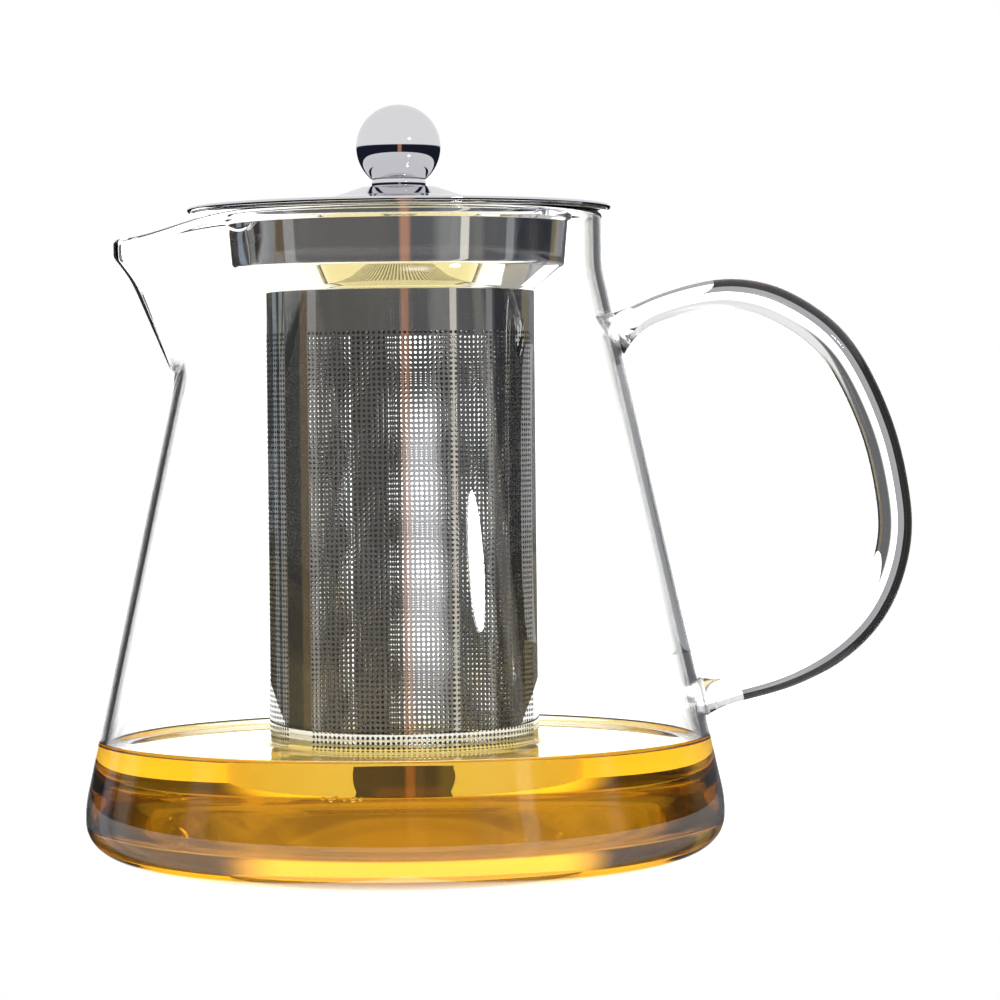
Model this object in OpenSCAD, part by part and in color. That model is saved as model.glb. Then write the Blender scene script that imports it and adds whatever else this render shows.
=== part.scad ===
// Glass teapot with a lift-out steel infuser and a lid.
// Origin: the centre of the glass base, on its resting face. +Z is up.
// The handle points along +X and the spout along -X.

/* [Glass body] */
// Greatest radius of the glass, just above the base
belly_r = 75; // [70:1:80]
// Height of the greatest radius
belly_z = 12; // [11:0.5:14]
// Radius of the flat resting face
foot_r = 55; // [50:1:60]
// Half-angle of the straight conical wall, degrees
cone_angle = 12.45; // [11.5:0.05:13]
// Outer radius of the mouth
mouth_r = 47.6; // [46.5:0.1:48.5]
// Height of the rim
rim_z = 152; // [145:1:158]
// Thickness of the blown wall
wall = 2.2; // [1.8:0.1:2.6]
// Thickness of the base
base_t = 3; // [2.5:0.1:4]

/* [Spout] */
// How far the pulled lip reaches from the axis
spout_reach = 66.9; // [62:0.1:70]
// How far the lip's tip lies below the rim
spout_drop = 5.2; // [3:0.1:8]
// Height at which the keel leaves the wall
keel_z = 114.3; // [112:0.1:118]
// Half of the lip's width where it leaves the rim
spout_half_w = 30; // [24:0.5:33]

/* [Handle] */
// Radius of the rod at the grip
grip_r = 4; // [3.5:0.1:4.5]
// Radius of the rod at its two arms
arm_r = 3; // [2.6:0.1:3.4]
// Radius of the fused ends where they meet the wall
fused_r = 5.6; // [5:0.1:6.5]

/* [Infuser] */
// Outer radius of the perforated sleeve
sleeve_r = 31.5; // [29:0.1:32.5]
// Height of the infuser's underside in the pot
infuser_z = 17; // [10:0.5:25]
// Thickness of the sleeve and of its base
sleeve_t = 0.5; // [0.4:0.1:0.8]
// Outer radius of the collar at the top
collar_r = 39.4; // [38.5:0.1:41]
// Outer radius of the flange that hangs on the rim
flange_r = 48.7; // [48:0.1:49.5]
// Thickness of the drawn collar and its flange
collar_t = 0.6; // [0.5:0.1:0.8]

/* [Lid] */
// Outer radius of the lid
lid_r = 49.4; // [49:0.1:51]
// Thickness of the lid's sheet
lid_t = 0.8; // [0.6:0.1:1]
// Outer radius of the skirt that drops into the collar
skirt_r = 37.4; // [36:0.1:37.5]
// Depth of the skirt below the lid's edge
skirt_h = 9.5; // [6:0.5:11]

/* [Knob] */
// Radius of the ball
ball_r = 9.85; // [8:0.05:12]
// Radius of the ferrule between the ball and the lid
ferrule_r = 6.3; // [5.5:0.1:6.5]
// Height of the ferrule
ferrule_h = 2; // [1.5:0.1:3]
// Nominal diameter of the screw
screw_d = 4; // [3:1:4]

/* [Hidden] */
$fn = 96;
eps = 0.01;
// Length by which a cutting shape runs clear of what it cuts
clear = 20;

// Glass wall: a squarish corner, an arc onto the cone, the cone, and an arc into the neck
corner_power = 2.3;
corner_step = 7.5;
belly_arc = 30;
neck_arc = 25;
arc_steps = 6;
rim_step = 22.5;
cone_slope = tan(cone_angle);
cone_start_r = belly_r - belly_arc * (1 - cos(cone_angle));
cone_start_z = belly_z + belly_arc * sin(cone_angle);
neck_start_r = mouth_r + neck_arc * (1 - cos(cone_angle));
neck_start_z = cone_start_z + (cone_start_r - neck_start_r) / cone_slope;
neck_z = neck_start_z + neck_arc * sin(cone_angle);
lip_z = rim_z - wall / 2;
function wall_r(z) = cone_start_r - (z - cone_start_z) * cone_slope;

// Spout: the balls that its outer and inner skins are stretched over
ball_sides = 24;
lip_ball = 4;
lip_side_x = sqrt(pow(mouth_r - lip_ball, 2) - spout_half_w * spout_half_w);
lip_side_h = 12;
tip_x = -spout_reach + lip_ball;
tip_z = rim_z - spout_drop - 1;
lip_over = 6;
lip_clear = 15;
trim = 40;
trim_in = 5;
keel_lean = atan((spout_reach - wall_r(keel_z)) / (rim_z - spout_drop - keel_z));
lip_fall = atan(spout_drop / (spout_reach - mouth_r));

// Handle: the middle line of the rod, as points [x, z] joined by one smooth curve
handle_line = [[42, 117], [49, 123], [58, 128.4], [69, 131.7], [79, 132.4], [90, 129.1],
               [102, 119.8], [110.6, 103], [114.6, 87], [115.1, 74], [110.6, 60.4], [102, 50.6],
               [91, 44], [80, 40.5], [68, 38], [58, 36]];
rod_sides = 20;
steps_per_span = 4;
flare_len = 10;
arm_len = 34;

// Infuser
shoulder_top = 139;
shoulder_end = 134.5;
sleeve_top = 133.6;
collar_foot_r = 38.5;

// Lid and knob
lid_seat = rim_z + collar_t;
lid_edge_r = 0.5;
lid_edge_z = lid_seat + lid_edge_r;
lid_edge_w = 0.6;
lid_edge_run = 0.3;
dome_r = 24;
dome_z = 155;
crown_r = 15.5;
crown_z = 156;
boss_r = 9;
boss_z = 158.2;
skirt_weld = 4;
screw_clear = 0.15;
screw_head_r = 3.5;
screw_head_h = 2.4;
recess_len = 4.4;
recess_w = 1;
recess_h = 1;
screw_len = 11;
screw_sides = 48;
washer_r = 5;
washer_t = 0.8;
ball_flat_z = boss_z + ferrule_h;
ball_flat_r = ferrule_r + 0.1;
ball_z = ball_flat_z + sqrt(ball_r * ball_r - ball_flat_r * ball_flat_r);

// Colours
glass = [0.86, 0.9, 0.9, 0.35];
steel = [0.72, 0.73, 0.74];
mesh_steel = [0.5, 0.5, 0.52];

// ---------- glass ----------

// One face of the wall from the base up to lip_z, set in from the outer surface by t
function wall_face(t, floor_z) = concat(
    [for (a = [90:-corner_step:0])
        [foot_r + (belly_r - t - foot_r) * pow(cos(a), 2 / corner_power),
         belly_z - (belly_z - floor_z) * pow(sin(a), 2 / corner_power)]],
    [for (i = [1:arc_steps]) let (a = cone_angle * i / arc_steps)
        [belly_r - belly_arc + (belly_arc - t) * cos(a), belly_z + (belly_arc - t) * sin(a)]],
    [for (i = [arc_steps:-1:0]) let (a = cone_angle * i / arc_steps)
        [mouth_r + neck_arc - (neck_arc + t) * cos(a), neck_z - (neck_arc + t) * sin(a)]]);
function reversed(list) = [for (i = [len(list) - 1:-1:0]) list[i]];

// The fire-polished rim, a half circle from the outer face to the inner face
rim = [for (a = [0:rim_step:180]) [mouth_r - wall / 2 + wall / 2 * cos(a), lip_z + wall / 2 * sin(a)]];

// The pot without its lip
module blown_wall() {
    rotate_extrude() polygon(concat(
        [[0, 0]], wall_face(0, 0), rim, reversed(wall_face(wall, base_t)), [[0, base_t]]));
}

// The whole space within the face that is set in by t
module pot_solid(t) {
    rotate_extrude() polygon(concat(
        [[0, 0]], wall_face(t, 0), [[mouth_r - t, rim_z + clear], [0, rim_z + clear]]));
}

// One skin of the pulled lip, set in by t, with its open top at height top_z
module lip_skin(t, top_z) {
    hull() {
        for (h = [tip_z, top_z]) translate([tip_x, 0, h]) sphere(lip_ball - t, $fn = ball_sides);
        translate([-wall_r(keel_z) + lip_ball * cos(keel_lean), 0, keel_z + lip_ball * sin(keel_lean)])
            sphere(lip_ball - t, $fn = ball_sides);
        for (side = [-1, 1]) for (h = [lip_z - lip_side_h, top_z])
            translate([-lip_side_x, side * spout_half_w, h]) sphere(lip_ball - t, $fn = ball_sides);
    }
}

// Everything above the lip's sloping edge and above the rim
module above_lip() {
    translate([-mouth_r, 0, rim_z]) rotate([0, -lip_fall, 0])
        translate([-trim, -trim, 0]) cube([trim + trim_in, 2 * trim, trim]);
    translate([-mouth_r - 1, -trim, rim_z - eps]) cube([trim, 2 * trim, trim]);
}

module glass_body() {
    color(glass) difference() {
        union() {
            blown_wall();
            difference() {
                lip_skin(0, rim_z + lip_over);
                above_lip();
                pot_solid(wall / 2);
            }
        }
        lip_skin(wall, rim_z + lip_clear);
    }
}

// ---------- handle ----------

function curve_point(p, t) = 0.5 * (2 * p[1] + (p[2] - p[0]) * t
    + (2 * p[0] - 5 * p[1] + 4 * p[2] - p[3]) * t * t
    + (3 * p[1] - p[0] - 3 * p[2] + p[3]) * t * t * t);
last_span = len(handle_line) - 4;
rod_line = [for (s = [0:last_span]) for (i = [0:steps_per_span - (s == last_span ? 0 : 1)])
    curve_point([for (k = [0:3]) handle_line[s + k]], i / steps_per_span)];
rings = len(rod_line);
step_len = [for (i = [0:rings - 1]) i == 0 ? 0 : norm(rod_line[i] - rod_line[i - 1])];
function run_to(i) = i == 0 ? 0 : run_to(i - 1) + step_len[i];
rod_len = run_to(rings - 1);
// The rod swells towards the grip, and flares at both ends
function smooth(u) = let (v = min(1, max(0, u))) v * v * (3 - 2 * v);
function rod_r(s) = let (e = min(s, rod_len - s))
    arm_r + (grip_r - arm_r) * smooth((e - flare_len) / arm_len)
    + (fused_r - arm_r) * pow(1 - min(1, e / flare_len), 2);
function along(i) = let (d = rod_line[min(i + 1, rings - 1)] - rod_line[max(i - 1, 0)]) d / norm(d);
rod_points = [for (i = [0:rings - 1]) let (d = along(i), r = rod_r(run_to(i)))
    for (k = [0:rod_sides - 1]) let (a = 360 * k / rod_sides)
        [rod_line[i][0] - d[1] * r * cos(a), r * sin(a), rod_line[i][1] + d[0] * r * cos(a)]];
function ring_face(i, k) = let (n = (k + 1) % rod_sides, a = i * rod_sides, b = a + rod_sides)
    [a + k, b + k, b + n, a + n];
rod_faces = concat(
    [[for (k = [0:rod_sides - 1]) k]],
    [for (i = [0:rings - 2]) for (k = [0:rod_sides - 1]) ring_face(i, k)],
    [[for (k = [rod_sides - 1:-1:0]) (rings - 1) * rod_sides + k]]);

module handle() {
    color(glass) difference() {
        polyhedron(rod_points, rod_faces);
        pot_solid(0);
    }
}

// ---------- infuser ----------

module infuser_collar() {
    color(steel) rotate_extrude() polygon([
        [collar_r - collar_t, rim_z + collar_t], [flange_r, rim_z + collar_t], [flange_r, rim_z],
        [collar_r, rim_z], [collar_foot_r, shoulder_top], [sleeve_r, shoulder_end],
        [sleeve_r, sleeve_top], [sleeve_r - sleeve_t, sleeve_top],
        [sleeve_r - sleeve_t, shoulder_end + collar_t / 2],
        [collar_foot_r - collar_t, shoulder_top + collar_t / 2]]);
}

module infuser_sleeve() {
    color(mesh_steel) difference() {
        translate([0, 0, infuser_z + sleeve_t]) cylinder(h = sleeve_top - infuser_z - sleeve_t, r = sleeve_r);
        translate([0, 0, infuser_z]) cylinder(h = sleeve_top - infuser_z + 1, r = sleeve_r - sleeve_t);
    }
}

module infuser_base() {
    color(mesh_steel) translate([0, 0, infuser_z]) cylinder(h = sleeve_t, r = sleeve_r);
}

// ---------- lid ----------

// Height of the lid's upper surface outside the crown
function lid_top(r) = dome_z
    + (lid_edge_z + lid_edge_r - dome_z) * (r - dome_r) / (lid_r - lid_edge_r - dome_r);

module lid_shell() {
    edge = lid_r - lid_edge_r;
    under = edge - lid_edge_w - lid_edge_run;
    color(steel) difference() {
        rotate_extrude() polygon(concat(
            [[0, boss_z], [boss_r, boss_z], [crown_r, crown_z], [dome_r, dome_z]],
            [for (a = [90:-30:-90]) [edge + lid_edge_r * cos(a), lid_edge_z + lid_edge_r * sin(a)]],
            [[edge - lid_edge_w, lid_seat], [under, lid_top(under) - lid_t], [dome_r, dome_z - lid_t],
             [crown_r - lid_t / 2, crown_z - lid_t], [boss_r - lid_t / 2, boss_z - lid_t],
             [0, boss_z - lid_t]]));
        cylinder(h = boss_z + 1, d = screw_d + 2 * screw_clear);
    }
}

module lid_skirt() {
    inner = skirt_r - lid_t;
    weld = skirt_r - skirt_weld;
    color(steel) rotate_extrude() polygon([
        [skirt_r, lid_seat - skirt_h], [skirt_r, lid_top(skirt_r) - lid_t], [weld, lid_top(weld) - lid_t],
        [weld, lid_top(weld) - 2 * lid_t], [inner, lid_top(inner) - 2 * lid_t], [inner, lid_seat - skirt_h]]);
}

// ---------- knob ----------

module screw_hole(z, h, d) {
    translate([0, 0, z]) cylinder(h = h, d = d, $fn = screw_sides);
}

module knob_ferrule() {
    color(steel) difference() {
        translate([0, 0, boss_z]) cylinder(h = ferrule_h, r = ferrule_r);
        screw_hole(boss_z - 1, ferrule_h + 2, screw_d + 2 * screw_clear);
    }
}

module knob_ball() {
    color(steel) difference() {
        translate([0, 0, ball_z]) sphere(ball_r);
        translate([0, 0, ball_flat_z - clear]) cylinder(h = clear, r = 2 * ball_r);
        screw_hole(ball_flat_z - 1, screw_len, screw_d);
    }
}

module knob_screw() {
    under = boss_z - lid_t - washer_t;
    color(steel) {
        difference() {
            translate([0, 0, under - screw_head_h])
                cylinder(h = screw_head_h, r = screw_head_r, $fn = screw_sides);
            for (size = [[recess_len, recess_w, 2 * recess_h], [recess_w, recess_len, 2 * recess_h]])
                translate([0, 0, under - screw_head_h - eps]) cube(size, center = true);
        }
        translate([0, 0, under - eps]) cylinder(h = screw_len + eps, d = screw_d, $fn = screw_sides);
    }
}

module knob_washer() {
    color(steel) difference() {
        translate([0, 0, boss_z - lid_t - washer_t]) cylinder(h = washer_t, r = washer_r);
        screw_hole(boss_z - lid_t - washer_t - 1, washer_t + 2, screw_d + 2 * screw_clear);
    }
}

glass_body();
handle();
infuser_collar();
infuser_sleeve();
infuser_base();
lid_shell();
lid_skirt();
knob_ferrule();
knob_ball();
knob_screw();
knob_washer();
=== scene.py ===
"""Looks of a glass teapot with a lift-out steel infuser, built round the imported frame.

Metres, +Z up. The origin is on the pot's axis at its resting face; the handle points along +X and the
pouring lip along -X. The camera looks along +Y.
"""

import math
import random

import bpy
import numpy as np
from mathutils import Matrix, Vector


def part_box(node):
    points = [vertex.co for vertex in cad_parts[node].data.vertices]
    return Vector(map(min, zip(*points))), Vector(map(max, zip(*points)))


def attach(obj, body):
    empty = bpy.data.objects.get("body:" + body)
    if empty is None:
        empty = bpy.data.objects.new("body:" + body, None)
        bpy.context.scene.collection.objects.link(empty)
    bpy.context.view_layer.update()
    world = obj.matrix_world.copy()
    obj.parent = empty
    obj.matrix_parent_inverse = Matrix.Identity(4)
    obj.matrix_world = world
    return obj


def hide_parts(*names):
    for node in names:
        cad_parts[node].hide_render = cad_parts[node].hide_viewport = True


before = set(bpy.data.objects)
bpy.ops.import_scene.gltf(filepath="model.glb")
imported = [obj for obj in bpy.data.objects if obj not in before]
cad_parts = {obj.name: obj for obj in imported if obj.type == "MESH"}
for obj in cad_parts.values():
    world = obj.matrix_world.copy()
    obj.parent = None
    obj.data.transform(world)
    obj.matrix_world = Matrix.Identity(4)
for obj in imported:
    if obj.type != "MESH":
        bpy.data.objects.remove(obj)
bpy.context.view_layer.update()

MM = 0.001
random.seed(7)

# ---------- sizes, read from the frame where it holds them ----------

_, pot_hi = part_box("glass_body")
sleeve_lo, sleeve_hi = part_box("infuser_sleeve")
base_lo, base_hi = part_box("infuser_base")
collar_lo, collar_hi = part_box("infuser_collar")
lid_lo, lid_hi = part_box("lid_shell")
ferrule_lo, ferrule_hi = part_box("knob_ferrule")
ball_lo, ball_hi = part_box("knob_ball")

BELLY_R = pot_hi.x
RIM_Z = pot_hi.z
BELLY_Z = 12 * MM
FOOT_R = 55 * MM
CONE_ANGLE = math.radians(12.45)
MOUTH_R = 47.6 * MM
WALL = 2.2 * MM
BASE_T = 3 * MM
CORNER_POWER = 2.3
BELLY_ARC = 30 * MM
NECK_ARC = 25 * MM
CONE_START_R = BELLY_R - BELLY_ARC * (1 - math.cos(CONE_ANGLE))
CONE_START_Z = BELLY_Z + BELLY_ARC * math.sin(CONE_ANGLE)
NECK_START_R = MOUTH_R + NECK_ARC * (1 - math.cos(CONE_ANGLE))
NECK_START_Z = CONE_START_Z + (CONE_START_R - NECK_START_R) / math.tan(CONE_ANGLE)
NECK_END_Z = NECK_START_Z + NECK_ARC * math.sin(CONE_ANGLE)

KEEL_Z = 114.3 * MM
LIP_REACH = 66.9 * MM
LIP_DROP = 5.2 * MM
LIP_BALL = 4 * MM

SLEEVE_R = sleeve_hi.x
SLEEVE_T = base_hi.z - base_lo.z
HOLE_COLUMNS = 168
HOLE_ROWS = 82
HOLE_R = 0.42 * MM
HOLE_SIDES = 6
PLAIN_BANDS = (312.5, 196.5, 80.5)
PLAIN_COLUMNS = 7
SLEEVE_PANELS = 4

TEA_Z = 28.3 * MM


# ---------- mesh helpers ----------

def link(obj):
    bpy.context.scene.collection.objects.link(obj)
    return obj


def mesh_object(name, verts, faces, material, body):
    """A new smooth-shaded piece that rides on a CAD body."""
    mesh = bpy.data.meshes.new(name)
    mesh.from_pydata([tuple(v) for v in verts], [], [tuple(f) for f in faces])
    mesh.polygons.foreach_set("use_smooth", [True] * len(mesh.polygons))
    mesh.materials.append(material)
    mesh.update()
    obj = link(bpy.data.objects.new(name, mesh))
    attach(obj, body)
    return obj


def ring_faces(first, second, n):
    """Quads between two closed rings of n vertices that start at the given indices."""
    return [(first + k, first + (k + 1) % n, second + (k + 1) % n, second + k) for k in range(n)]


ON_AXIS = 1e-7


def lathe(outline, n):
    """Verts and faces of a revolved outline of (r, z) points. A point on the axis becomes one pole."""
    verts, rings = [], []
    for r, z in outline:
        rings.append((len(verts), r > ON_AXIS))
        if r > ON_AXIS:
            for k in range(n):
                a = 2 * math.pi * k / n
                verts.append((r * math.cos(a), r * math.sin(a), z))
        else:
            verts.append((0.0, 0.0, z))
    faces = []
    pairs = list(zip(rings, rings[1:]))
    if outline[0][0] > ON_AXIS and outline[-1][0] > ON_AXIS:
        pairs.append((rings[-1], rings[0]))
    for (a, wide_a), (b, wide_b) in pairs:
        if wide_a and wide_b:
            faces += ring_faces(a, b, n)
        elif wide_a:
            faces += [(a + k, a + (k + 1) % n, b) for k in range(n)]
        elif wide_b:
            faces += [(a, b + (k + 1) % n, b + k) for k in range(n)]
    return verts, faces


def arc(centre, radius, start, end, steps):
    """Points (r, z) along an arc, angles in degrees."""
    out = []
    for i in range(steps + 1):
        a = math.radians(start + (end - start) * i / steps)
        out.append((centre[0] + radius * math.cos(a), centre[1] + radius * math.sin(a)))
    return out


def filleted(points, radii, steps=8):
    """A line of (r, z) points whose inner corners are rounded by the given radii."""
    out = [points[0]]
    for before, here, after, radius in zip(points, points[1:], points[2:], radii):
        p, a, b = Vector(here), Vector(before), Vector(after)
        u, v = (a - p).normalized(), (b - p).normalized()
        half = u.angle(v) / 2
        if radius <= 0 or half > math.pi / 2 - 1e-3:
            out.append(here)
            continue
        reach = min(radius / math.tan(half), (a - p).length * 0.49, (b - p).length * 0.49)
        start, end = p + u * reach, p + v * reach
        centre = p + (u + v).normalized() * (reach / math.cos(half))
        s, e = start - centre, end - centre
        turn = s.angle_signed(e)
        for i in range(steps + 1):
            w = s.copy()
            w.rotate(Matrix.Rotation(-turn * i / steps, 2))
            out.append(tuple(centre + w))
    out.append(points[-1])
    return out


END_STEPS = 4


def sheet_outline(line, t):
    """The closed outline of a sheet of thickness t along a middle line, with rounded edges."""
    pts = [Vector(p) for p in line]
    left, right = [], []
    for i, p in enumerate(pts):
        d = (pts[min(i + 1, len(pts) - 1)] - pts[max(i - 1, 0)]).normalized()
        n = Vector((-d.y, d.x))
        left.append(p + n * (t / 2))
        right.append(p - n * (t / 2))

    def cap(centre, first, direction):
        side = first - centre
        return [centre + side * math.cos(a) + direction * (t / 2) * math.sin(a)
                for a in (math.pi * i / END_STEPS for i in range(1, END_STEPS))]

    tail = (pts[-1] - pts[-2]).normalized()
    head = (pts[0] - pts[1]).normalized()
    ring = left + cap(pts[-1], left[-1], tail) + right[::-1] + cap(pts[0], right[0], head)
    return [tuple(p) for p in ring]


# ---------- material helpers ----------

GLASS_IOR = 1.474
TEA_IOR = 1.333
MIRROR_HAZE = (0.0, 0.003)


def new_material(name):
    mat = bpy.data.materials.new(name)
    mat.use_nodes = True
    nt = mat.node_tree
    nt.nodes.clear()
    out = nt.nodes.new("ShaderNodeOutputMaterial")
    bsdf = nt.nodes.new("ShaderNodeBsdfPrincipled")
    nt.links.new(bsdf.outputs["BSDF"], out.inputs["Surface"])
    return mat, nt, bsdf, out


def noise(nt, scale, detail, stretch=(1, 1, 1)):
    """3D noise in object space; scale counts features per metre."""
    coord = nt.nodes.new("ShaderNodeTexCoord")
    mapping = nt.nodes.new("ShaderNodeMapping")
    mapping.inputs["Scale"].default_value = stretch
    tex = nt.nodes.new("ShaderNodeTexNoise")
    tex.inputs["Scale"].default_value = scale
    tex.inputs["Detail"].default_value = detail
    tex.inputs["Roughness"].default_value = 0.5
    nt.links.new(coord.outputs["Object"], mapping.inputs["Vector"])
    nt.links.new(mapping.outputs["Vector"], tex.inputs["Vector"])
    return tex.outputs["Fac"]


def ramp(nt, source, low, high):
    """Maps 0..1 noise to low..high."""
    node = nt.nodes.new("ShaderNodeMapRange")
    node.inputs["From Min"].default_value = 0.3
    node.inputs["From Max"].default_value = 0.7
    node.inputs["To Min"].default_value = low
    node.inputs["To Max"].default_value = high
    nt.links.new(source, node.inputs["Value"])
    return node.outputs["Result"]


def bump(nt, bsdf, height, distance):
    node = nt.nodes.new("ShaderNodeBump")
    node.inputs["Strength"].default_value = 1.0
    node.inputs["Distance"].default_value = distance
    nt.links.new(height, node.inputs["Height"])
    nt.links.new(node.outputs["Normal"], bsdf.inputs["Normal"])


def glass_material(name, waviness, wave_scale):
    """Clear borosilicate: slightly uneven from being blown, with faint smudges."""
    mat, nt, bsdf, out = new_material(name)
    bsdf.inputs["Base Color"].default_value = (0.985, 0.995, 0.99, 1)
    bsdf.inputs["Transmission Weight"].default_value = 1.0
    bsdf.inputs["IOR"].default_value = GLASS_IOR
    nt.links.new(ramp(nt, noise(nt, 60, 3), *MIRROR_HAZE), bsdf.inputs["Roughness"])
    bump(nt, bsdf, noise(nt, wave_scale, 1.0, (1, 1, 0.5)), waviness)
    return mat


def steel_material(name, colour, rough_low, rough_high, grain, ripple=0.0):
    """Polished stainless steel: faint polishing haze, and a very shallow ripple from drawing."""
    mat, nt, bsdf, out = new_material(name)
    bsdf.inputs["Metallic"].default_value = 1.0
    mix = nt.nodes.new("ShaderNodeMix")
    mix.data_type = "RGBA"
    mix.inputs["A"].default_value = (*[c * 0.96 for c in colour], 1)
    mix.inputs["B"].default_value = (*colour, 1)
    nt.links.new(noise(nt, 35, 4), mix.inputs["Factor"])
    nt.links.new(mix.outputs["Result"], bsdf.inputs["Base Color"])
    haze = ramp(nt, noise(nt, grain, 4, (1, 1, 0.15)), rough_low, rough_high)
    nt.links.new(haze, bsdf.inputs["Roughness"])
    if ripple:
        bump(nt, bsdf, noise(nt, 70, 1.0, (1, 1, 0.8)), ripple)
    return mat


def tea_material():
    """Clear amber liquid, coloured by how much of it the light crosses."""
    mat, nt, bsdf, out = new_material("tea_liquid")
    bsdf.inputs["Base Color"].default_value = (1, 1, 1, 1)
    bsdf.inputs["Transmission Weight"].default_value = 1.0
    bsdf.inputs["IOR"].default_value = TEA_IOR
    nt.links.new(ramp(nt, noise(nt, 25, 1), *MIRROR_HAZE), bsdf.inputs["Roughness"])
    absorb = nt.nodes.new("ShaderNodeVolumeAbsorption")
    absorb.inputs["Color"].default_value = (0.985, 0.81, 0.0, 1)
    absorb.inputs["Density"].default_value = 36.0
    nt.links.new(absorb.outputs["Volume"], out.inputs["Volume"])
    return mat


MAT_GLASS = glass_material("clear_glass", 0.00006, 28)
MAT_ROD = glass_material("rod_glass", 0.00004, 40)
MAT_POLISHED = steel_material("polished_steel", (0.80, 0.80, 0.82), 0.02, 0.05, 160, 0.00005)
MAT_MIRROR = steel_material("mirror_steel", (0.80, 0.80, 0.82), *MIRROR_HAZE, 160, 0.00005)
MAT_MESH = steel_material("mesh_steel", (0.62, 0.61, 0.60), *MIRROR_HAZE, 220, 0.00003)
# The sleeve's inner face: its darker colour is painted shade for the light trapped inside the tube; its
# rougher finish is real.
MAT_MESH_INSIDE_SHADED = steel_material("mesh_steel_inside_painted_shade", (0.30, 0.29, 0.28), 0.2, 0.3, 220)
MAT_FASTENER = steel_material("fastener_steel", (0.62, 0.63, 0.65), 0.18, 0.3, 400)
MAT_TEA = tea_material()


# ---------- glass body ----------

def wall_face(t, floor_z, corner_steps=28, belly_steps=10, cone_steps=44, neck_steps=10, top_steps=8):
    """One face of the wall from the foot to the rim, set in from the outer surface by t."""
    pts = []
    for i in range(corner_steps + 1):
        a = math.pi / 2 * (1 - i / corner_steps)
        pts.append((FOOT_R + (BELLY_R - t - FOOT_R) * max(0, math.cos(a)) ** (2 / CORNER_POWER),
                    BELLY_Z - (BELLY_Z - floor_z) * max(0, math.sin(a)) ** (2 / CORNER_POWER)))
    for i in range(1, belly_steps + 1):
        a = CONE_ANGLE * i / belly_steps
        pts.append((BELLY_R - BELLY_ARC + (BELLY_ARC - t) * math.cos(a),
                    BELLY_Z + (BELLY_ARC - t) * math.sin(a)))
    neck = []
    for i in range(neck_steps, -1, -1):
        a = CONE_ANGLE * i / neck_steps
        neck.append((MOUTH_R + NECK_ARC - (NECK_ARC + t) * math.cos(a),
                     NECK_END_Z - (NECK_ARC + t) * math.sin(a)))
    start, end = pts[-1], neck[0]
    for i in range(1, cone_steps):
        f = i / cone_steps
        pts.append((start[0] + (end[0] - start[0]) * f, start[1] + (end[1] - start[1]) * f))
    pts += neck
    for i in range(1, top_steps + 1):
        f = i / top_steps
        pts.append((MOUTH_R - t, NECK_END_Z + (RIM_Z - WALL / 2 - NECK_END_Z) * f))
    return pts


def keel_x(z):
    """How far the lip's keel reaches from the axis at height z, on the outer surface."""
    root = CONE_START_R - (KEEL_Z - CONE_START_Z) * math.tan(CONE_ANGLE)
    top = RIM_Z - LIP_DROP
    return root + (LIP_REACH - root) * (z - KEEL_Z) / (top - KEEL_Z)


def lip_radius(r, z, t, phi):
    """Radius at angle phi from -X of the round wall of radius r once the lip is pulled out of it."""
    keel = min(keel_x(z), LIP_REACH)
    ball = LIP_BALL - t
    d = keel - t - ball
    if d <= r - ball + 1e-9 or abs(phi) > math.pi / 2:
        return r
    beta = math.acos((r - ball) / d)
    if abs(phi) >= beta:
        return r
    near = math.atan2(ball * math.sin(beta), d + ball * math.cos(beta))
    if abs(phi) > near:
        return r / math.cos(beta - abs(phi))
    return d * math.cos(phi) + math.sqrt(max(0.0, ball ** 2 - (d * math.sin(phi)) ** 2))


def soft_step(v):
    v = min(1.0, max(0.0, v))
    return v * v * (3 - 2 * v)


def lip_sink(radius, z):
    """How much lower a point near the rim lies where the lip falls away from the mouth."""
    out = (radius - MOUTH_R) / (LIP_REACH - MOUTH_R)
    near_rim = soft_step((z - (RIM_Z - 18 * MM)) / (18 * MM))
    return LIP_DROP * math.sin(min(1.0, max(0.0, out)) * math.pi / 2) * near_rim


def angles_round(n, fine_half, share):
    """Angles round the pot, from -X, with a share of them inside the lip's half-angle."""
    inside = int(n * share / 2)
    outside = n // 2 - inside
    half = [fine_half * (i / inside) ** 1.6 for i in range(inside)]
    half += [fine_half + (math.pi - fine_half) * i / outside for i in range(outside)]
    return [-a for a in half[:0:-1]] + half + [math.pi]


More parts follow.
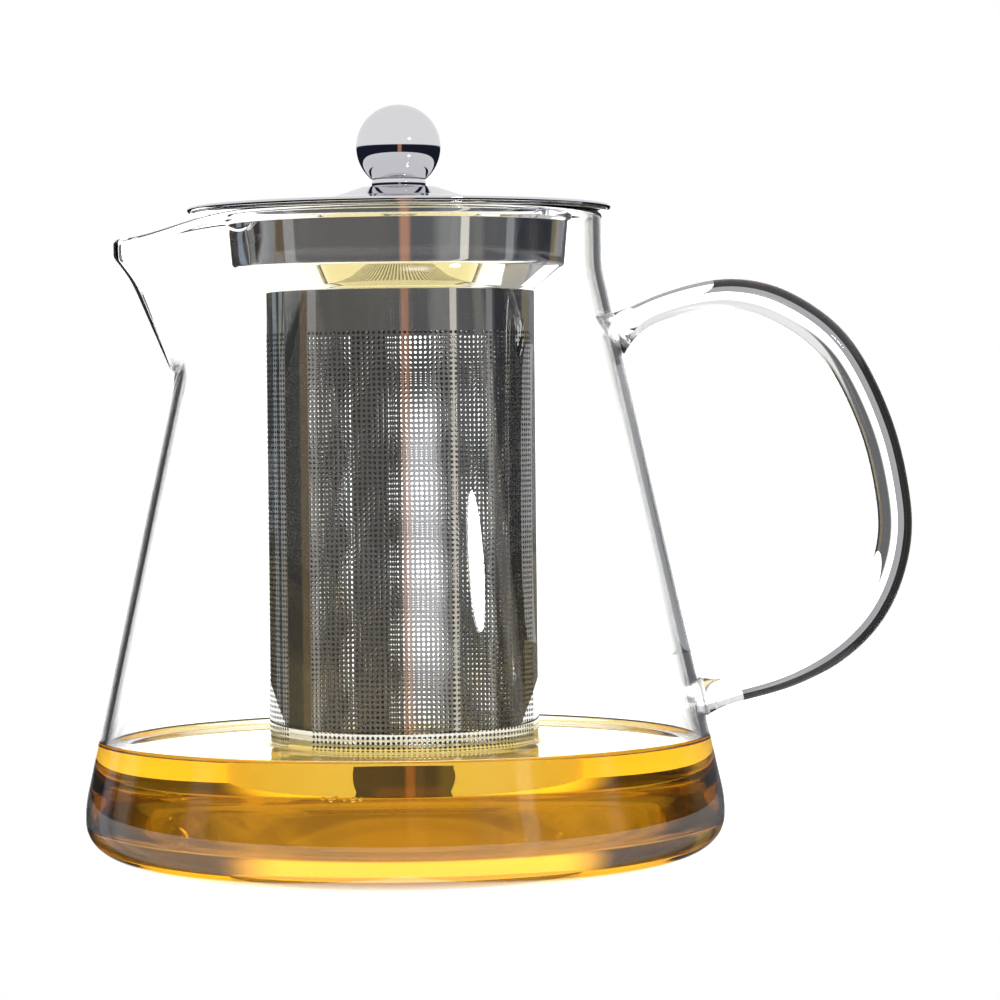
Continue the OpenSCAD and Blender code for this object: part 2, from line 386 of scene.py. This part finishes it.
def pot_mesh():
    outer = wall_face(0, 0)
    inner = wall_face(WALL, BASE_T)
    rim = [(MOUTH_R - WALL / 2 + WALL / 2 * math.cos(a), RIM_Z - WALL / 2 + WALL / 2 * math.sin(a))
           for a in (math.pi * i / 10 for i in range(1, 10))]
    base_rings = [FOOT_R * f for f in (0.25, 0.5, 0.75, 0.9)]
    outline = [(0, 0)] + [(r, 0) for r in base_rings] + outer + rim + inner[::-1]
    outline += [(r, BASE_T) for r in base_rings[::-1]] + [(0, BASE_T)]
    depth = [0] * (1 + len(base_rings) + len(outer))
    depth += [WALL * i / 10 for i in range(1, 10)]
    depth += [WALL] * (len(inner) + len(base_rings) + 1)
    phis = angles_round(240, math.radians(50), 0.42)
    verts, starts = [], []
    for (r, z), t in zip(outline, depth):
        starts.append(len(verts))
        if r == 0:
            verts.append((0, 0, z))
            continue
        for phi in phis:
            radius = lip_radius(r, z, t, phi) if z > KEEL_Z * 0.95 else r
            low = lip_sink(radius + t, z) if z > KEEL_Z else 0
            verts.append((-radius * math.cos(phi), radius * math.sin(phi), z - low))
    faces = []
    n = len(phis)
    for i in range(len(outline) - 1):
        a, b = starts[i], starts[i + 1]
        if outline[i][0] == 0:
            faces += [(a, b + k, b + (k + 1) % n) for k in range(n)]
        elif outline[i + 1][0] == 0:
            faces += [(a + k, b, a + (k + 1) % n) for k in range(n)]
        else:
            faces += [(a + k, b + k, b + (k + 1) % n, a + (k + 1) % n) for k in range(n)]
    return verts, faces


verts, faces = pot_mesh()
pot = mesh_object("glass_pot", verts, faces, MAT_GLASS, "pot")
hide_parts("glass_body")


# ---------- handle ----------

HANDLE_LINE = [(42, 117), (49, 123), (58, 128.4), (69, 131.7), (79, 132.4), (90, 129.1),
               (102, 119.8), (110.6, 103), (114.6, 87), (115.1, 74), (110.6, 60.4), (102, 50.6),
               (91, 44), (80, 40.5), (68, 38), (58, 36)]
GRIP_R, ARM_R, FUSED_R = 4 * MM, 3 * MM, 5.6 * MM
FLARE_LEN, ARM_LEN = 10 * MM, 34 * MM
ROD_SIDES = 48
STEPS_PER_SPAN = 12


def curve_point(p, t):
    return 0.5 * (2 * p[1] + (p[2] - p[0]) * t + (2 * p[0] - 5 * p[1] + 4 * p[2] - p[3]) * t * t
                  + (3 * p[1] - p[0] - 3 * p[2] + p[3]) * t ** 3)


def handle_mesh():
    knots = np.array(HANDLE_LINE) * MM
    line = [curve_point(knots[s:s + 4], i / STEPS_PER_SPAN)
            for s in range(len(knots) - 3) for i in range(STEPS_PER_SPAN)]
    line.append(knots[-2])
    line = np.array(line)
    for _ in range(12):
        line[1:-1] = (line[:-2] + 2 * line[1:-1] + line[2:]) / 4
    run = np.concatenate([[0], np.cumsum(np.linalg.norm(np.diff(line, axis=0), axis=1))])
    total = run[-1]
    along = np.gradient(line, axis=0)
    along /= np.linalg.norm(along, axis=1)[:, None]
    verts, faces = [], []
    for (x, z), (dx, dz), s in zip(line, along, run):
        e = min(s, total - s)
        r = ARM_R + (GRIP_R - ARM_R) * soft_step((e - FLARE_LEN) / ARM_LEN)
        r += (FUSED_R - ARM_R) * (1 - min(1, e / FLARE_LEN)) ** 2
        for k in range(ROD_SIDES):
            a = 2 * math.pi * k / ROD_SIDES
            verts.append((x - dz * r * math.cos(a), r * math.sin(a), z + dx * r * math.cos(a)))
    for i in range(len(line) - 1):
        faces += ring_faces((i + 1) * ROD_SIDES, i * ROD_SIDES, ROD_SIDES)
    last = (len(line) - 1) * ROD_SIDES
    faces.append(tuple(range(ROD_SIDES)))
    faces.append(tuple(last + k for k in range(ROD_SIDES))[::-1])
    return verts, faces


verts, faces = handle_mesh()
rod = mesh_object("glass_rod_handle", verts, faces, MAT_ROD, "pot")
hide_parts("handle")


# ---------- steel parts turned on the axis ----------

def turned(name, outline, material, body, node, n=192):
    verts, faces = lathe(outline, n)
    obj = mesh_object(name, verts, faces, material, body)
    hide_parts(node)
    return obj


def collar_outline():
    flange_r = collar_hi.x
    top = collar_hi.z
    t = 0.6 * MM
    mid = top - t / 2
    line = filleted(
        [(flange_r - t / 2, mid), (40.2 * MM, mid), (40.0 * MM, top - 2.2 * MM), (39.1 * MM, top - 2.9 * MM),
         (38.2 * MM, 139.4 * MM), (31.9 * MM, 134.4 * MM),
         (SLEEVE_R - SLEEVE_T / 2, collar_lo.z + 0.1 * MM)],
        [0.7 * MM, 0.6 * MM, 0.5 * MM, 1.4 * MM, 0.8 * MM], 8)
    return sheet_outline(line, t)


turned("infuser_collar_drawn", collar_outline()[::-1], MAT_MIRROR, "infuser", "infuser_collar",
       256)


# ---------- perforated sleeve, and the CAD nodes that stay ----------

def hexagon():
    return [(math.cos(math.radians(60 * k)), math.sin(math.radians(60 * k))) for k in range(HOLE_SIDES)]


CELL_FRONT = [(3, 0, "h0"), (0, "h1", "h0"), (0, 1, "h2", "h1"), (1, "h3", "h2"), (1, 2, "h3"),
              (2, "h4", "h3"), (2, 3, "h5", "h4"), (3, "h0", "h5")]


def perforated(name, us, vs, holes, place, material):
    """A closed sheet on a grid of us by vs, with a hexagonal hole in each cell that holes marks.

    place(u, v, side) gives the point on the outer side (0) or the inner side (1), and its normal.
    """
    verts, normals, faces, face_sides, inner = [], [], [], [], []
    grid = {}

    def vertex(u, v, side):
        p, n = place(u, v, side)
        verts.append(p)
        normals.append(n)
        return len(verts) - 1

    for side in (0, 1):
        for i, u in enumerate(us):
            for j, v in enumerate(vs):
                grid[i, j, side] = vertex(u, v, side)
    hexa = hexagon()
    for i in range(len(us) - 1):
        for j in range(len(vs) - 1):
            corners = [(i + 1, j + 1), (i, j + 1), (i, j), (i + 1, j)]
            uc, vc = (us[i] + us[i + 1]) / 2, (vs[j] + vs[j + 1]) / 2
            rings = []
            if holes[i][j]:
                for side in (0, 1):
                    rings.append([vertex(uc + HOLE_R * a, vc + HOLE_R * b, side) for a, b in hexa])
            for side in (0, 1):
                c = [grid[a, b, side] for a, b in corners]
                if holes[i][j]:
                    look = {f"h{k}": rings[side][k] for k in range(HOLE_SIDES)}
                    look.update({k: c[k] for k in range(4)})
                    made = [tuple(look[k] for k in f) for f in CELL_FRONT]
                else:
                    made = [tuple(c)]
                inner += range(len(faces), len(faces) + len(made) * side)
                faces += [f if side == 0 else f[::-1] for f in made]
                face_sides += [side] * len(made)
            if holes[i][j]:
                for k in range(HOLE_SIDES):
                    m = (k + 1) % HOLE_SIDES
                    faces.append((rings[0][k], rings[0][m], rings[1][m], rings[1][k]))
                    face_sides.append(None)
    last_i, last_j = len(us) - 1, len(vs) - 1
    for j in range(last_j):
        for i, flip in ((0, False), (last_i, True)):
            f = (grid[i, j, 0], grid[i, j + 1, 0], grid[i, j + 1, 1], grid[i, j, 1])
            faces.append(f[::-1] if flip else f)
            face_sides.append(None)
    for i in range(last_i):
        for j, flip in ((0, True), (last_j, False)):
            f = (grid[i, j, 0], grid[i + 1, j, 0], grid[i + 1, j, 1], grid[i, j, 1])
            faces.append(f[::-1] if flip else f)
            face_sides.append(None)
    obj = mesh_object(name, verts, faces, material, "infuser")
    mesh = obj.data
    # The inner faces take the darker steel, which is painted shade inside the tube.
    mesh.materials.append(MAT_MESH_INSIDE_SHADED)
    for index in inner:
        mesh.polygons[index].material_index = 1
    custom = []
    for poly, kind in zip(mesh.polygons, face_sides):
        for index in poly.vertices:
            custom.append(tuple(poly.normal) if kind is None else normals[index])
    mesh.normals_split_custom_set(custom)
    return obj


def sleeve_place(u, v, side):
    """u runs round the outer surface in metres from the front towards +X; v is the height."""
    a = u / SLEEVE_R
    r = SLEEVE_R - side * SLEEVE_T
    out = 1 if side == 0 else -1
    return (r * math.sin(a), -r * math.cos(a), v), (out * math.sin(a), -out * math.cos(a), 0)


def in_plain_band(column):
    """Is this column of the sleeve inside one of its plain strips?"""
    for band in PLAIN_BANDS:
        gap = (column + 0.5) * 360 / HOLE_COLUMNS - band
        gap = (gap + 180) % 360 - 180
        if abs(gap) < PLAIN_COLUMNS / 2 * 360 / HOLE_COLUMNS:
            return True
    return False


def build_sleeve():
    """The perforated tube in panels, with its plain strips and its plain upper and lower edges."""
    pitch = 2 * math.pi * SLEEVE_R / HOLE_COLUMNS
    top_row = sleeve_hi.z - 9.4 * MM
    rows = [top_row - pitch * k for k in range(HOLE_ROWS, -1, -1)]
    vs = [sleeve_lo.z] + rows + [sleeve_hi.z]
    per_panel = HOLE_COLUMNS // SLEEVE_PANELS
    for p in range(SLEEVE_PANELS):
        first = p * per_panel
        us = [pitch * (first + k) for k in range(per_panel + 1)]
        holes = [[0 < j <= HOLE_ROWS and not in_plain_band(first + i) for j in range(len(vs) - 1)]
                 for i in range(per_panel)]
        panel = perforated(f"infuser_sleeve_panel_{p + 1}", us, vs, holes, sleeve_place, MAT_MESH)
        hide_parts("infuser_sleeve")


build_sleeve()

for node, mat in (("infuser_base", MAT_MESH), ("lid_skirt", MAT_MIRROR), ("knob_screw", MAT_FASTENER),
                  ("knob_washer", MAT_FASTENER)):
    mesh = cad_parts[node].data
    mesh.materials.clear()
    mesh.materials.append(mat)


# ---------- lid and knob ----------

def lid_outline():
    """The lid's sheet: rolled edge, shallow dome, crown and the raised boss."""
    t = 0.8 * MM
    edge_r = lid_hi.x
    seat = lid_lo.z
    top = lid_hi.z
    upper = filleted(
        [(0.0, top), (9 * MM, top), (15.5 * MM, 156 * MM), (24 * MM, 155 * MM),
         (edge_r - 0.5 * MM, seat + 1 * MM)],
        [0.8 * MM, 5 * MM, 20 * MM], 8)
    rolled = arc((edge_r - 0.5 * MM, seat + 0.5 * MM), 0.5 * MM, 90, -90, 10)
    lower = filleted(
        [(edge_r - 0.7 * MM, seat), (edge_r - 1.2 * MM, seat + 0.3 * MM), (24 * MM, 155 * MM - t),
         (15.2 * MM, 156 * MM - t), (8.6 * MM, top - t), (0.0, top - t)],
        [0.3 * MM, 20 * MM, 4 * MM, 0.8 * MM], 8)
    return upper + rolled[1:] + lower


turned("lid_pressed", lid_outline()[::-1], MAT_POLISHED, "lid", "lid_shell", 256)


def ferrule_outline():
    r, lo, hi = ferrule_hi.x, ferrule_lo.z, ferrule_hi.z
    c = 0.35 * MM
    bore = 2.15 * MM
    return filleted([(bore, lo), (r, lo), (r, (lo + hi) / 2), (r - 0.2 * MM, hi), (bore, hi)], [c, c, c], 6)


turned("knob_ferrule_turned", ferrule_outline(), MAT_POLISHED, "lid", "knob_ferrule", 128)


def ball_outline():
    r = ball_hi.x
    flat = ball_lo.z
    centre = ball_hi.z - r
    start = math.degrees(math.asin((flat - centre) / r))
    side = arc((0, centre), r, start, 90, 64)
    side[-1] = (0.0, ball_hi.z)
    return [(0.0, flat), (side[0][0] * 0.6, flat)] + side


turned("knob_ball_polished", ball_outline(), MAT_POLISHED, "lid", "knob_ball", 192)


# ---------- tea ----------

def inner_radius(z, faces_in):
    """The glass's inner radius at height z."""
    return float(np.interp(z, [p[1] for p in faces_in], [p[0] for p in faces_in]))


def tea_outline():
    """The tea up to the wall, a little inside the glass so that no air gap shows, with its menisci."""
    inner = wall_face(WALL, BASE_T)
    bite = 0.12 * MM
    climb = 1.6 * MM
    side = [(r + bite, z) for r, z in inner if z < TEA_Z + climb - 0.3 * MM]
    wall_r = inner_radius(TEA_Z + climb, inner) + bite
    top = [(wall_r, TEA_Z + climb)]
    for i in range(1, 15):
        d = 7 * MM * (i / 14) ** 1.7
        top.append((wall_r - 0.15 * MM - d, TEA_Z + climb * math.exp(-d / (1.5 * MM))))
    sleeve_rise = 1.3 * MM
    for i in range(12, -1, -1):
        d = 6 * MM * (i / 12) ** 1.7
        top.append((SLEEVE_R + d - 0.05 * MM, TEA_Z + sleeve_rise * math.exp(-d / (1.3 * MM))))
    inside = SLEEVE_R - SLEEVE_T
    for i in range(9):
        d = 6 * MM * (i / 8) ** 1.7
        top.append((inside - d - 0.02 * MM, TEA_Z + sleeve_rise * math.exp(-d / (1.3 * MM))))
    top += [(inside * 0.4, TEA_Z), (0, TEA_Z)]
    return [(0, BASE_T - bite), (FOOT_R * 0.5, BASE_T - bite)] + side + top


verts, faces = lathe(tea_outline(), 240)
tea = mesh_object("tea", verts, faces, MAT_TEA, "pot")


def small_balls(name, spots, material, body):
    """Little closed balls, one for each (x, y, z, radius), as one object."""
    verts, faces = [], []
    for x, y, z, r in spots:
        v, f = lathe([(0.0, -r)] + arc((0, 0), r, -75, 75, 8) + [(0.0, r)], 16)
        start = len(verts)
        verts += [(x + a, y + b, z + c) for a, b, c in v]
        faces += [tuple(start + i for i in face) for face in f]
    return mesh_object(name, verts, faces, material, body)


def bubble_material():
    """Air inside the tea: the liquid's refraction turned round."""
    mat, nt, bsdf, out = new_material("air_bubble")
    bsdf.inputs["Transmission Weight"].default_value = 1.0
    bsdf.inputs["IOR"].default_value = 1 / TEA_IOR
    nt.links.new(ramp(nt, noise(nt, 400, 1), *MIRROR_HAZE), bsdf.inputs["Roughness"])
    return mat


def build_bubbles():
    """A few bubbles that cling to the infuser's lower edge at the front."""
    spots = []
    for x, r in ((-15.2, 0.42), (-13.6, 0.55), (-12.9, 0.36), (-11.0, 0.38), (-9.3, 0.6), (-7.9, 0.45)):
        y = -math.sqrt(31.9 ** 2 - x * x)
        spots.append((x * MM, y * MM, (16.9 - r + random.uniform(0, 0.5)) * MM, r * MM))
    bubbles = small_balls("tea_bubbles", spots, bubble_material(), "pot")


build_bubbles()


# ---------- stage: floor, light and camera ----------

CAMERA_PLACE = Vector((0.0229, -0.9221, 0.1048))
CAMERA_LENS = 141.8
CAMERA_PITCH = math.radians(1.236)
CAMERA_ROLL = math.radians(0.6)

LAMP_AZIMUTH = 33.0
LAMP_RISE = 21.4
LAMP_DISTANCE = 1.6
LAMP_SIZE = (0.17, 0.085)
LAMP_RADIANCE = 30.0
LAMP_TARGET = Vector((0, 0, 0.06))


def build_floor():
    """A pale round table top, set back behind the dim room's edge. Mirrored rays don't see it."""
    back = 0.28
    verts, faces = [(0, back, 0)], []
    n, radius = 96, 0.415
    for k in range(n):
        a = 2 * math.pi * k / n
        verts.append((radius * math.cos(a), back + radius * math.sin(a), 0))
        faces.append((0, k + 1, (k + 1) % n + 1))
    mesh = bpy.data.meshes.new("floor")
    mesh.from_pydata(verts, [], faces)
    floor = link(bpy.data.objects.new("floor", mesh))
    floor.location.z = -0.0002
    mat, nt, bsdf, out = new_material("floor_white")
    bsdf.inputs["Base Color"].default_value = (0.6, 0.6, 0.6, 1)
    bsdf.inputs["Roughness"].default_value = 0.9
    bsdf.inputs["Specular IOR Level"].default_value = 0.0
    bsdf.inputs["Emission Color"].default_value = (1, 1, 1, 1)
    bsdf.inputs["Emission Strength"].default_value = 1.3
    mesh.materials.append(mat)
    floor.visible_glossy = False


# The dim room that the steel mirrors: strips at an azimuth from the front towards +X, in degrees.
# Each is azimuth, half-width, softness, colour.
ROOM_STRIPS = [
    (-45, 30, 20, (0.155, 0.148, 0.140)),
    (38, 7, 9, (0.27, 0.27, 0.265)),
    (63, 9, 4, (0.125, 0.125, 0.13)),
    (112, 22, 5, (0.026, 0.027, 0.036)),
    (134, 5, 4, (0.22, 0.18, 0.11)),
    (-122, 36, 12, (0.045, 0.044, 0.045)),
    (-105, 9, 3, (0.03, 0.03, 0.03)),
    (-88, 4, 3, (0.15, 0.105, 0.06)),
    (-120, 4, 2, (0.34, 0.34, 0.33)),
    (-134, 3, 3, (0.26, 0.31, 0.38)),
    (-79, 4, 2, (0.38, 0.37, 0.36)),
    (5, 1.8, 3, (0.5, 0.27, 0.18)),
    (46.5, 2.5, 1, (0.95, 0.9, 0.8)),
    (82, 2.5, 1.5, (0.34, 0.34, 0.35)),
]
ROOM_LEFT = (0.135, 0.13, 0.125)
ROOM_RIGHT = (0.13, 0.132, 0.14)
WINDOW = (5.0, 5.0, 5.2)
BACKDROP = (2.4, 2.4, 2.4)
CEILING = (0.85, 0.85, 0.86)
NAVY = (0.012, 0.013, 0.025)
COPPER = (0.42, 0.2, 0.12)


def build_world():
    """A white backdrop behind the pot, a soft ceiling, and a dim room beside and in front of it.

    The lid and the knob, whose finish has some haze and which no glass covers, see a plain dark room
    under a light ceiling instead.
    """
    scene = bpy.context.scene
    world = bpy.data.worlds.new("studio")
    scene.world = world
    world.use_nodes = True
    nt = world.node_tree
    nt.nodes.clear()
    out = nt.nodes.new("ShaderNodeOutputWorld")
    coord = nt.nodes.new("ShaderNodeTexCoord")
    split = nt.nodes.new("ShaderNodeSeparateXYZ")
    nt.links.new(coord.outputs["Generated"], split.inputs["Vector"])
    height = split.outputs["Z"]

    def calc(operation, a, b=None):
        node = nt.nodes.new("ShaderNodeMath")
        node.operation = operation
        for socket, value in zip(node.inputs, (a, b)):
            if isinstance(value, (int, float)):
                socket.default_value = value
            elif value is not None:
                nt.links.new(value, socket)
        return node.outputs["Value"]

    def stretch(source, low, high):
        """0 at low and 1 at high, smoothly."""
        node = nt.nodes.new("ShaderNodeMapRange")
        node.interpolation_type = "SMOOTHSTEP"
        flip = high < low
        node.inputs["From Min"].default_value = min(low, high)
        node.inputs["From Max"].default_value = max(low, high)
        node.inputs["To Min"].default_value = 1.0 if flip else 0.0
        node.inputs["To Max"].default_value = 0.0 if flip else 1.0
        nt.links.new(source, node.inputs["Value"])
        return node.outputs["Result"]

    def blend(factor, a, b):
        node = nt.nodes.new("ShaderNodeMix")
        node.data_type = "RGBA"
        nt.links.new(factor, node.inputs["Factor"])
        for key, value in (("A", a), ("B", b)):
            if isinstance(value, tuple):
                node.inputs[key].default_value = (*value, 1)
            else:
                nt.links.new(value, node.inputs[key])
        return node.outputs["Result"]

    turn = calc("ARCTAN2", split.outputs["X"], calc("MULTIPLY", split.outputs["Y"], -1))
    azimuth = calc("MULTIPLY", turn, 180 / math.pi)
    colour = blend(stretch(azimuth, -30, 30), ROOM_LEFT, ROOM_RIGHT)
    for centre, half, soft, tint in ROOM_STRIPS:
        off = calc("ABSOLUTE", calc("SUBTRACT", azimuth, centre))
        colour = blend(stretch(off, half + soft, half), colour, tint)
    window = calc("MULTIPLY", stretch(calc("ABSOLUTE", calc("SUBTRACT", azimuth, 11)), 12, 3),
                  calc("MULTIPLY", stretch(height, 0.34, 0.38), stretch(height, 0.43, 0.41)))
    colour = blend(window, colour, WINDOW)
    colour = blend(stretch(height, 0.43, 0.48), colour, CEILING)
    behind = calc("MAXIMUM", stretch(azimuth, -158, -166), stretch(azimuth, 164, 172))
    high = calc("MULTIPLY", stretch(calc("ABSOLUTE", azimuth), 130, 145), stretch(height, 0.22, 0.28))
    colour = blend(behind, colour, BACKDROP)
    colour = blend(high, colour, CEILING)
    path = nt.nodes.new("ShaderNodeLightPath")
    through = calc("MAXIMUM", path.outputs["Is Singular Ray"], path.outputs["Is Transmission Ray"])
    polished = calc("MULTIPLY", path.outputs["Is Glossy Ray"], calc("SUBTRACT", 1, through))
    copper = stretch(calc("ABSOLUTE", calc("SUBTRACT", azimuth, 5)), 7, 3)
    steel = blend(copper, NAVY, COPPER)
    steel = blend(stretch(height, 0.05, 0.08), steel, CEILING)
    colour = blend(polished, colour, steel)
    seen = blend(path.outputs["Is Camera Ray"], colour, (1.0, 1.0, 1.0))
    background = nt.nodes.new("ShaderNodeBackground")
    nt.links.new(seen, background.inputs["Color"])
    nt.links.new(background.outputs["Background"], out.inputs["Surface"])


FLAG_SPAN = slice(4, 14)
FLAG_INSET = 11 * MM
# Each card's name, its near and far edge behind the handle in mm, and how bright it is.
FLAGS = [("flag_black", 5, 36, 0.02), ("flag_grey", 36, 130, 0.4)]


def build_flags():
    """A black and a grey card behind the handle, edge-on to the camera, that darken its outer side."""
    line = [Vector((x * MM, 0, z * MM)) for x, z in HANDLE_LINE[FLAG_SPAN]]
    edge = []
    for i, p in enumerate(line):
        d = (line[min(i + 1, len(line) - 1)] - line[max(i - 1, 0)]).normalized()
        edge.append(p - Vector((-d.z, 0, d.x)) * FLAG_INSET)
    for name, near, far, level in FLAGS:
        verts, faces = [], []
        for p in edge:
            away = (p - CAMERA_PLACE).normalized()
            verts += [p + away * near * MM, p + away * far * MM]
        for i in range(len(edge) - 1):
            faces.append((2 * i, 2 * i + 1, 2 * i + 3, 2 * i + 2))
        mesh = bpy.data.meshes.new(name)
        mesh.from_pydata([tuple(v) for v in verts], [], faces)
        card = link(bpy.data.objects.new(name, mesh))
        mat, nt, bsdf, out = new_material(name)
        bsdf.inputs["Base Color"].default_value = (0, 0, 0, 1)
        bsdf.inputs["Specular IOR Level"].default_value = 0.0
        bsdf.inputs["Emission Color"].default_value = (1, 1, 1.05, 1)
        bsdf.inputs["Emission Strength"].default_value = level
        mesh.materials.append(mat)
        card.visible_camera = card.visible_glossy = card.visible_diffuse = card.visible_shadow = False


def build_lights():
    """One soft oval lamp, up and to the right of the camera, that faces the pot."""
    a, e = math.radians(LAMP_AZIMUTH), math.radians(LAMP_RISE)
    away = Vector((math.sin(a) * math.cos(e), -math.cos(a) * math.cos(e), math.sin(e)))
    light = bpy.data.lights.new("strip", "AREA")
    light.shape = "ELLIPSE"
    light.size, light.size_y = LAMP_SIZE
    light.energy = LAMP_RADIANCE * math.pi * LAMP_SIZE[0] * LAMP_SIZE[1]
    obj = link(bpy.data.objects.new("strip", light))
    obj.location = LAMP_TARGET + away * LAMP_DISTANCE
    obj.rotation_euler = (-away * LAMP_DISTANCE).to_track_quat("-Z", "Y").to_euler()
    obj.visible_camera = False


def build_camera():
    cam = bpy.data.cameras.new("camera")
    cam.sensor_width = 36
    cam.lens = CAMERA_LENS
    obj = link(bpy.data.objects.new("camera", cam))
    pitch, roll = CAMERA_PITCH, CAMERA_ROLL
    look = Vector((0, math.cos(pitch), -math.sin(pitch)))
    up = Vector((math.sin(roll), 0, math.cos(roll)))
    right = look.cross(up).normalized()
    up = right.cross(look)
    obj.matrix_world = Matrix.Translation(CAMERA_PLACE) @ Matrix(
        (right, up, -look)).transposed().to_4x4()
    cam.clip_start, cam.clip_end = 0.05, 50
    bpy.context.scene.camera = obj


build_floor()
build_flags()
build_world()
build_lights()
build_camera()
scene = bpy.context.scene
scene.view_settings.view_transform = "Standard"
scene.cycles.use_denoising = True
scene.cycles.max_bounces = 20
scene.cycles.transmission_bounces = 20
scene.cycles.glossy_bounces = 8
bpy.context.view_layer.update()
